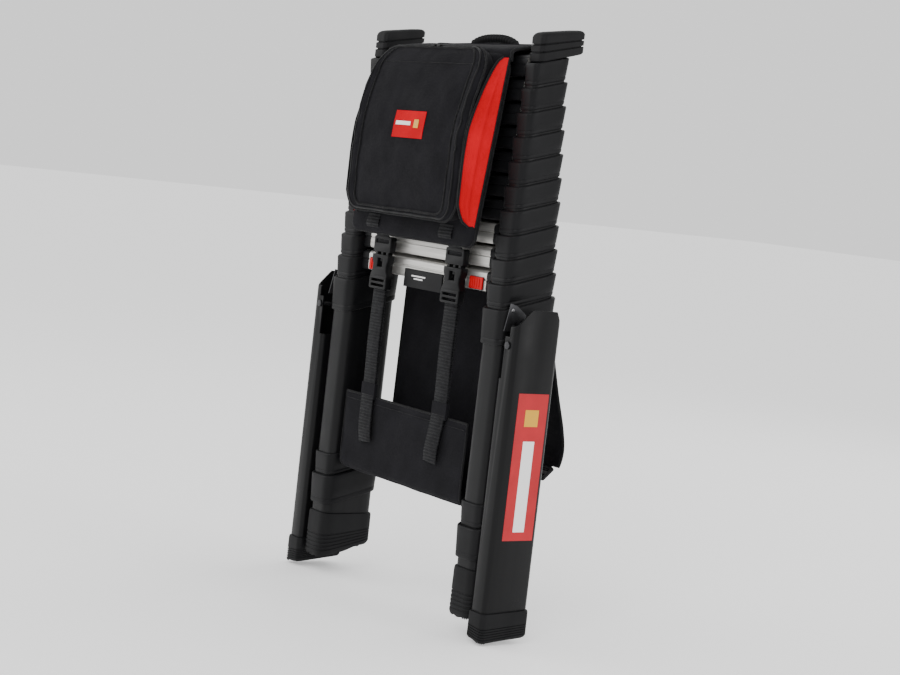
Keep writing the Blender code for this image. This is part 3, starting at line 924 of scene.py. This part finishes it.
def apply_modifiers(obj):
    graph = bpy.context.evaluated_depsgraph_get()
    mesh = bpy.data.meshes.new_from_object(obj.evaluated_get(graph))
    old = obj.data
    obj.modifiers.clear()
    obj.data = mesh
    bpy.data.meshes.remove(old)


def laid_on(tree, points, lift):
    """Moves points in XZ onto the surface in front of them, then lifts them off it."""
    placed = []
    for x, z in points:
        hit, normal = tree.ray_cast(Vector((x, STILE_Y - 0.5, z)), Vector((0, 1, 0)))[:2]
        if hit is None:
            hit, normal = tree.find_nearest(Vector((x, pocket_front(z), z)))[:2]
        if normal.y > 0:
            normal = -normal
        placed.append(hit + normal * lift)
    return placed


def laid_near(tree, points, lift):
    """Moves points onto the nearest place of the surface, then lifts them off it."""
    placed = []
    for point in points:
        hit, normal = tree.find_nearest(point)[:2]
        placed.append(hit + normal * lift)
    return placed


def make_pocket():
    pocket = finish_mesh("bag_pocket", pocket_mesh(), FABRIC, 60)
    inflate(pocket, 3.0, 0.0035)
    for vertex in pocket.data.vertices:
        vertex.co.y += wrinkle(vertex.co, 20, 0.0016) + wrinkle(vertex.co, 55, 0.0005)
    keep(pocket, TOP_BODY, "black_fabric")
    surface = pocket.data
    tree = BVHTree.FromPolygons([v.co for v in surface.vertices], [p.vertices for p in surface.polygons])
    for name, across, share, lift, size, material in (
        ("pocket_outer_piping", 0.0, 1.02, 0.0004, 0.0021, BINDING),
        ("pocket_panel_piping", 1.0, 1.0, 0.0004, 0.0019, BINDING),
        ("pocket_zip_coil", 0.5, 1.12, 0.0, 0.0017, BUCKLE_PLASTIC),
    ):
        path = laid_near(tree, band_ring(across, share, 220), lift)
        add_piping(name, path, size, TOP_BODY, "black_fabric", material, closed=True)
    seam = laid_on(tree, [(PANEL_HALF * (x / 20 - 1) * 0.985, PANEL_HIGH - 0.024) for x in range(41)], 0.0)
    add_piping("pocket_top_seam", seam, 0.0007, TOP_BODY, "black_fabric", sides=6)
    make_zip_sliders(tree)
    make_bag_label(tree)
    for side, sign in SIDES:
        make_gusset(side, sign)


def make_zip_sliders(tree):
    """Two zip sliders that meet on top of the pocket."""
    for number, x in enumerate((-0.006, 0.008)):
        near = Vector((x, pocket_front(POCKET_HIGH) - 0.002, POCKET_HIGH - 0.003))
        at = laid_near(tree, [near], 0.001)[0]
        slider = block(at - Vector((0.0045, 0.004, 0.001)), at + Vector((0.0045, 0.004, 0.0028)), 0.001)
        add_piece(f"zip_slider_{number + 1}", slider, BUCKLE_PLASTIC, TOP_BODY, "steel")


def patch_on(tree, low, high, lift, columns, rows):
    """A thin sewn patch that lies on the pocket, as a bmesh."""
    rings = []
    for row in range(rows + 1):
        z = low[1] + (high[1] - low[1]) * row / rows
        points = [(low[0] + (high[0] - low[0]) * c / columns, z) for c in range(columns + 1)]
        rings.append(laid_on(tree, points, lift) + laid_on(tree, points, lift + 0.0006)[::-1])
    return loft(rings)


def make_bag_label(tree):
    """A plain red woven label with a white bar and a yellow square."""
    for name, low, high, lift, columns, rows, material, slot_name in (
        ("bag_label", (-0.034, 0.7315), (0.05, 0.7735), 0.0004, 16, 12, RED_FABRIC, "red_fabric"),
        ("bag_label_bar", (-0.028, 0.751), (0.012, 0.757), 0.0012, 10, 1, PRINT, "silver_aluminium"),
        ("bag_label_square", (0.022, 0.7475), (0.035, 0.7605), 0.0012, 4, 4, YELLOW_PRINT, "red_fabric"),
    ):
        work = patch_on(tree, low, high, lift, columns, rows)
        add_piece(name, work, material, TOP_BODY, slot_name, smooth=50)


def gusset_depth(share, z):
    """How far the gusset opens, from its upper point at 0 to its lower point at 1."""
    opened = 0.046 * math.sin(math.pi * share) ** 0.5 * (0.66 + 0.42 * share)
    return min(opened, bag_back(z) - 0.01 - pocket_front(z))


def make_gusset(side, sign):
    """A red expanding gusset at the pocket's side, pointed at both ends and folded down its middle."""
    rows, columns = 40, 18
    top, foot = bag_high.z - 0.02, bag_low.z + 0.03
    grid = []
    for row in range(rows + 1):
        share = row / rows
        z = top + (foot - top) * share
        depth = gusset_depth(share, z)
        opened = min(1.0, depth / 0.03)
        line = []
        for column in range(columns + 1):
            across = column / columns
            fold = math.exp(-(((across - 0.42 - 0.1 * share) / 0.13) ** 2))
            dip = (0.006 * math.sin(math.pi * across) - 0.0042 * fold) * opened
            x = sign * (BAG_HALF + 0.001 - (BAG_HALF - POCKET_HALF + 0.002) * across - dip)
            line.append((x, bag_back(z) - 0.01 - depth * across, z))
        grid.append(line)
    inner = [[(x - sign * 0.0012, y, z) for x, y, z in line] for line in grid]
    work = loft([a + b[::-1] for a, b in zip(grid, inner)])
    bmesh.ops.remove_doubles(work, verts=work.verts, dist=0.00005)
    add_piece(f"bag_gusset_{side}", work, RED_FABRIC, TOP_BODY, "red_fabric", smooth=70)
    add_piping(f"gusset_piping_{side}", [line[-1] for line in grid], 0.0022, TOP_BODY)
    add_piping(f"gusset_seam_{side}", [line[0] for line in grid], 0.0016, TOP_BODY)


# --- harness


def flat_panel(path, half_width, thickness, ripple=0.0008, width_at=lambda share: 1.0):
    """A panel that follows (y, z) points and spans X, with soft edges and shallow ripples."""
    columns = 40
    fine = smooth_path([(0, y, z) for y, z in path], 90)
    rings = []
    for index, point in enumerate(fine):
        share = index / (len(fine) - 1)
        half = half_width * width_at(share)
        along = direction_at(fine, index)
        out = Vector((0, along.z, -along.y))
        front, back = [], []
        for column in range(columns + 1):
            across = -1 + 2 * column / columns
            thin = thickness / 2 * (1 - max(0.0, abs(across) - 0.94) / 0.06 * 0.75)
            shift = wrinkle((across * 3, share * 7, 0.3), 1.0, ripple)
            at = Vector((across * half, point.y, point.z)) + out * shift
            front.append(at + out * thin)
            back.append(at - out * thin)
        rings.append(front + back[::-1])
    return loft(rings)


def panel_edges(path, half_width, width_at=lambda share: 1.0):
    """The two side edges of such a panel, as 3-D points."""
    fine = smooth_path([(0, y, z) for y, z in path], 60)
    halves = [half_width * width_at(index / 59) for index in range(60)]
    return [[Vector((sign * half, p.y, p.z)) for half, p in zip(halves, fine)] for sign in (1, -1)]


# Both paths are (distance behind the stiles' middle, height).
BACK_PATH = (
    (-0.034, 0.86), (-0.032, 0.874), (-0.02, 0.88), (0.01, 0.8865), (0.03, 0.889), (0.043, 0.887),
    (0.047, 0.876), (0.047, 0.7), (0.047, 0.45), (0.047, 0.1885),
)
FLAP_PATH = (
    (-0.0385, 0.312), (-0.0385, 0.26), (-0.0383, 0.203), (-0.0335, 0.19), (-0.025, 0.1862),
    (0.01, 0.186), (0.05, 0.186),
)


def placed(path):
    return [(y + STILE_Y, z) for y, z in path]


def panel_width(share):
    """Wider over the top rung, and wider again towards the foot."""
    return 1.0 + 0.12 * max(0.0, 1.0 - share / 0.42) ** 0.5 + 0.05 * max(0.0, share - 0.7) / 0.3


def make_back_panel():
    """The padded back panel, hung over the top rung, with its bindings and two pads."""
    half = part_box("back_panel")[1].x - 0.001
    path = placed(BACK_PATH)
    work = flat_panel(path, half, 0.0062, width_at=panel_width)
    name, node = "padded_back_panel", "back_panel"
    panel = add_piece(name, work, FABRIC, TOP_BODY, "black_fabric", node, smooth=60)
    for number, edge in enumerate(panel_edges(path, half, panel_width)):
        add_piping(f"back_panel_binding_{number + 1}", edge, 0.003, TOP_BODY, sides=10)
    rear = STILE_Y + 0.0505
    for number, (z_low, z_high) in enumerate(((0.6, 0.83), (0.3, 0.53))):
        pad = block((-0.1, rear - 0.001, z_low), (0.1, rear + 0.009, z_high), 0.004, 4)
        bmesh.ops.subdivide_edges(pad, edges=pad.edges, cuts=6, use_grid_fill=True)
        cushion = finish_mesh(f"back_pad_{number + 1}", pad, FABRIC, 60)
        inflate(cushion, 2.0, 0.004, 0.0045)
        keep(cushion, TOP_BODY, "black_fabric")


def make_flap():
    """The lower flap in front, which runs back under the base, with its bound edges and hem."""
    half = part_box("lower_flap")[1].x - 0.001
    path = placed(FLAP_PATH)
    work = flat_panel(path, half, 0.0028, ripple=0.0014)
    flap = add_piece("front_flap", work, FABRIC, BASE_BODY, "black_fabric", "lower_flap", smooth=60)
    fine = smooth_path([(0, y, z) for y, z in path], 60)
    for number, edge in enumerate(panel_edges(path, half)):
        add_piping(f"flap_binding_{number + 1}", edge, 0.0019, BASE_BODY)
    y, z = path[0]
    hem = [(half * (step / 25 - 1), y, z) for step in range(51)]
    add_piping("flap_top_hem", hem, 0.0021, BASE_BODY)
    stitch = [((half - 0.004) * (step / 25 - 1), y - 0.0018, z - 0.01) for step in range(51)]
    add_piping("flap_hem_stitch", stitch, 0.0006, BASE_BODY, material=WEBBING, sides=6)


def make_front_strap(side, sign):
    """A webbing strap with its sewn loop and hanging tail, its buckle, and the bag's stub above."""
    low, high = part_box(f"front_strap_{side}")
    middle = (low.x + high.x) / 2
    half = (high.x - low.x) / 2 * FRONT_STRAP_WIDENING
    front = low.y

    def hung(points, count):
        """A path through (shift in X, distance in front, height)."""
        return smooth_path([(middle + x, front - out, z) for x, out, z in points], count)

    main = [(0, -0.0014, high.z + 0.004), (0, -0.0022, 0.42), (0, -0.0014, 0.36), (0, -0.002, 0.318)]
    strap = sweep(hung(main, 50), half, 0.0018)
    add_strap(f"strap_{side}", strap, WEBBING, BASE_BODY, "webbing", f"front_strap_{side}")
    swing = -0.006 * sign
    tail = [(0, 0.0012, high.z), (-0.001, 0.0016, 0.41), (0, 0.001, 0.345), (swing * 0.3, 0.003, 0.3)]
    tail += [(swing, 0.0052, 0.262), (swing * 1.4, 0.003, 0.238)]
    hanging = sweep(hung(tail, 70), half * 0.97, 0.0018, slant=-0.006)
    add_strap(f"strap_tail_{side}", hanging, WEBBING, BASE_BODY)
    loop_z = 0.322
    loop_low = (middle - half - 0.002, front - 0.003, loop_z - 0.013)
    loop = block(loop_low, (middle + half + 0.002, front + 0.0032, loop_z + 0.013), 0.0012)
    add_piece(f"strap_loop_{side}", loop, FABRIC, BASE_BODY, "black_fabric")
    make_buckle(side, middle)
    stub = [(middle, front - 0.003, 0.56), (middle, front - 0.006, 0.574)]
    stub += [(middle, bag_back(0.59) - 0.012, 0.588), (middle, bag_back(0.61) - 0.012, 0.608)]
    add_strap(f"bag_stub_{side}", sweep(smooth_path(stub, 24), half, 0.002), WEBBING, TOP_BODY)


def outlined(outline, holes, y_low, y_high, bevel):
    """A flat moulding from (x, z) outlines, with holes, as a bmesh."""
    curve = bpy.data.curves.new("outline", "CURVE")
    curve.dimensions = "2D"
    curve.fill_mode = "BOTH"
    curve.extrude = (y_high - y_low) / 2 - bevel
    curve.bevel_depth = bevel
    curve.bevel_resolution = 2
    curve.offset = -bevel
    for points in [outline] + holes:
        spline = curve.splines.new("POLY")
        spline.points.add(len(points) - 1)
        for point, (x, z) in zip(spline.points, points):
            point.co = (x, z, 0, 1)
        spline.use_cyclic_u = True
    source = bpy.data.objects.new("outline", curve)
    bpy.context.scene.collection.objects.link(source)
    graph = bpy.context.evaluated_depsgraph_get()
    mesh = bpy.data.meshes.new_from_object(source.evaluated_get(graph))
    bpy.data.objects.remove(source)
    work = bmesh.new()
    work.from_mesh(mesh)
    bpy.data.meshes.remove(mesh)
    bmesh.ops.remove_doubles(work, verts=work.verts, dist=0.00001)
    work.transform(Matrix(((1, 0, 0, 0), (0, 0, -1, (y_low + y_high) / 2), (0, 1, 0, 0), (0, 0, 0, 1))))
    return work


def make_buckle(side, middle):
    """A side-release buckle: the socket and ladder bars below, the plug and its bar above."""
    low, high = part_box(f"buckle_{side}")
    front, back = low.y, high.y
    bottom, top = low.z, high.z
    wide = (high.x - low.x) / 0.042

    def around(points):
        return [(middle + x * wide, bottom + z) for x, z in points]

    def rounded(half, z_low, z_high, radius, steps):
        return around(rounded_rectangle((-half, z_low), (half, z_high), radius, steps))

    waist = [(0.0205, 0.02), (0.02, 0.024), (0.0165, 0.031)]
    waist += [(0.0165, 0.04), (0.0195, 0.048), (0.0195, 0.056)]
    waist = around(waist + [(-x, z) for x, z in waist[::-1]])
    window = around([(-0.006, 0.036), (0.006, 0.036), (0.006, 0.05), (-0.006, 0.05)])
    socket = outlined(waist, [window], front + 0.0005, back - 0.002, 0.0012)
    slots = [rounded(0.0155, z, z + 0.004, 0.001, 2) for z in (0.0045, 0.0125)]
    bars = outlined(rounded(0.0205, 0.0005, 0.021, 0.003, 3), slots, front, back - 0.004, 0.001)
    name, node = f"buckle_socket_{side}", f"buckle_{side}"
    add_piece(name, join_meshes([socket, bars]), BUCKLE_PLASTIC, BASE_BODY, "black_plastic", node)
    plug_outline = rounded(0.0205, 0.06, top - bottom - 0.0004, 0.003, 3)
    plug_slot = rounded(0.0155, 0.0745, 0.0805, 0.0012, 2)
    works = [outlined(plug_outline, [plug_slot], front + 0.002, back - 0.003, 0.001)]
    outer_prong, middle_prong = (0.0034, 0.003, 0.04, 0.0012), (0.003, 0.0035, 0.045, 0.001)
    for x, prong in ((-0.015, outer_prong), (0.015, outer_prong), (0.0, middle_prong)):
        half, sunk, foot, bevel = prong
        prong_low = (middle + x - half, front + sunk, bottom + foot)
        works.append(block(prong_low, (middle + x + half, back - sunk - 0.001, bottom + 0.062), bevel))
    add_piece(f"buckle_plug_{side}", join_meshes(works), BUCKLE_PLASTIC, BASE_BODY, "black_plastic")


SHOULDER_PATH = (
    (0.055, 0.8), (0.075, 0.7), (0.103, 0.58), (0.132, 0.46), (0.16, 0.362), (0.18, 0.3),
    (0.186, 0.262), (0.176, 0.232), (0.15, 0.216), (0.1, 0.209), (0.056, 0.206),
)


def make_shoulder_strap(side):
    """A padded shoulder strap: foam down to the adjuster, then webbing back to the panel."""
    low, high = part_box(f"shoulder_strap_{side}")
    middle = (low.x + high.x) / 2
    half = (high.x - low.x) / 2
    route = smooth_path([(middle, y + STILE_Y, z) for y, z in SHOULDER_PATH], 150)
    split = 100
    padded_part = route[: split + 1]

    def swelling(x, share):
        return 0.25 * (1 - x * x) - 0.5 * max(0.0, share - 0.94) / 0.06

    work = sweep(padded_part, half * 0.96, 0.0085, 0.0035, swelling)
    pad = add_strap(f"shoulder_pad_{side}", work, FABRIC, TOP_BODY, "black_fabric", f"shoulder_strap_{side}")
    for number, offset in enumerate((-1, 1)):
        edge = [p + Vector((offset * half * 0.95, 0, 0)) for p in padded_part]
        add_piping(f"shoulder_binding_{side}_{number + 1}", edge, 0.0026, TOP_BODY)
    web = sweep(route[split - 4 :], half * 0.46, 0.0022)
    add_strap(f"adjuster_webbing_{side}", web, HARNESS_WEBBING, TOP_BODY)
    at = route[split + 8]
    along = (route[split + 10] - route[split + 6]).normalized()
    slots = []
    for z in (-0.0095, 0.0035):
        slots.append(rounded_rectangle((-half * 0.48, z), (half * 0.48, z + 0.006), 0.001, 2))
    frame_outline = rounded_rectangle((-half * 0.6, -0.014), (half * 0.6, 0.014), 0.003, 3)
    adjuster = outlined(frame_outline, slots, -0.0026, 0.0026, 0.0009)
    turn = math.atan2(along.y, along.z)
    adjuster.transform(Matrix.Translation((middle, at.y, at.z)) @ Matrix.Rotation(-turn, 4, "X"))
    add_piece(f"strap_adjuster_{side}", adjuster, BUCKLE_PLASTIC, TOP_BODY, "black_plastic")


def make_handle():
    """The ribbed rubber grip on a webbing loop."""
    low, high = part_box("carry_handle")
    radius = (high.y - low.y) / 2
    middle_y = low.y + radius - 0.004
    reach = high.x - radius
    rise = high.z - low.z - 0.009 - radius
    arch = []
    for step in range(13):
        x = -1 + step / 6
        z = low.z + 0.003 + rise * max(0.0, 1 - abs(x) ** 2.6) ** 0.6
        arch.append((x * (reach - 0.001), middle_y, z))
    count, ribs = 260, 15
    path = smooth_path(arch, count + 1)
    out = Vector((0, 1, 0))
    rings = []
    for index, centre in enumerate(path):
        share = (index / count - 0.16) / 0.68
        grip = 0.0 < share < 1.0
        rib = 0.5 + 0.5 * math.cos(2 * math.pi * share * ribs)
        size = radius * (0.68 + 0.31 * rib) if grip else radius * 0.62
        flat = 0.92 if grip else 0.42
        side = direction_at(path, index).cross(out).normalized()
        rings.append(round_ring(centre, out, side, size, size * flat, 20))
    name, node = "ribbed_handle", "carry_handle"
    add_piece(name, loft(rings), RUBBER, TOP_BODY, "black_rubber", node, smooth=50)
    for number, x in enumerate((-reach, reach)):
        tab_low = (x - 0.014, STILE_Y + 0.05, low.z - 0.03)
        tab = block(tab_low, (x + 0.014, middle_y + 0.003, low.z + 0.01), 0.0015)
        add_piece(f"handle_tab_{number + 1}", tab, WEBBING, TOP_BODY, "webbing")


# --- stage


def make_camera():
    """The viewing angle: from the front right, a little above the middle, rolled with the leaning ladder."""
    azimuth, pitch, roll = (math.radians(angle) for angle in (53.91, 4.69, 6.55))
    ahead = Vector((-math.sin(azimuth), math.cos(azimuth), 0))
    forward = ahead * math.cos(pitch) - Vector((0, 0, math.sin(pitch)))
    right = Vector((math.cos(azimuth), math.sin(azimuth), 0))
    up = right.cross(forward)
    rolled_right = math.cos(roll) * right + math.sin(roll) * up
    rolled_up = -math.sin(roll) * right + math.cos(roll) * up
    camera = bpy.data.cameras.new("camera")
    camera.lens = 77.65
    camera.sensor_width = 36
    obj = bpy.data.objects.new("camera", camera)
    bpy.context.scene.collection.objects.link(obj)
    facing = Matrix((rolled_right, rolled_up, -forward)).transposed().to_4x4()
    obj.matrix_world = Matrix.Translation((2.497, -1.787 + STILE_Y, 0.679)) @ facing
    bpy.context.scene.camera = obj


def area_light(name, place, target, size, power):
    light = bpy.data.lights.new(name, "AREA")
    light.shape = "RECTANGLE"
    light.size, light.size_y = size
    light.energy = power
    obj = bpy.data.objects.new(name, light)
    bpy.context.scene.collection.objects.link(obj)
    obj.location = place
    obj.rotation_euler = (Vector(target) - Vector(place)).to_track_quat("-Z", "Y").to_euler()


def make_stage():
    work = bmesh.new()
    bmesh.ops.create_grid(work, x_segments=1, y_segments=1, size=30)
    material = new_material("pale_floor", (0.9, 0.9, 0.9), 0.7)
    shader_of(material).inputs["Emission Color"].default_value = (1.0, 1.0, 1.0, 1)
    shader_of(material).inputs["Emission Strength"].default_value = 0.32
    floor = finish_mesh("floor", work, material)
    floor.location.z = -0.001
    for name, place, aim, size, power in (
        ("key", (2.0, -2.6, 2.6), 0.45, (1.6, 1.6), 42),
        ("side", (3.0, 1.2, 1.4), 0.45, (1.0, 2.0), 24),
        ("left_fill", (-2.6, -2.2, 1.6), 0.45, (2.0, 2.0), 24),
        ("back", (-0.6, 3.0, 2.0), 0.5, (2.0, 1.5), 24),
    ):
        area_light(name, place, (0, 0, aim), size, power)
    world = bpy.data.worlds.new("studio")
    world.use_nodes = True
    world.node_tree.nodes["Background"].inputs["Color"].default_value = (1.0, 1.0, 1.0, 1)
    world.node_tree.nodes["Background"].inputs["Strength"].default_value = 1.15
    bpy.context.scene.world = world


make_camera()
make_stiles()
make_rungs()
make_rung_plate()
make_release_buttons()
for side, _ in SIDES:
    make_top_cap(side)
for side, _ in SIDES:
    make_foot(side)
for side, sign in SIDES:
    make_boot(side, sign)
make_bands_and_brackets()
make_legs()
make_bag_base()
make_pocket()
make_back_panel()
make_flap()
for side, sign in SIDES:
    make_front_strap(side, sign)
for side, _ in SIDES:
    make_shoulder_strap(side)
make_handle()
make_stage()
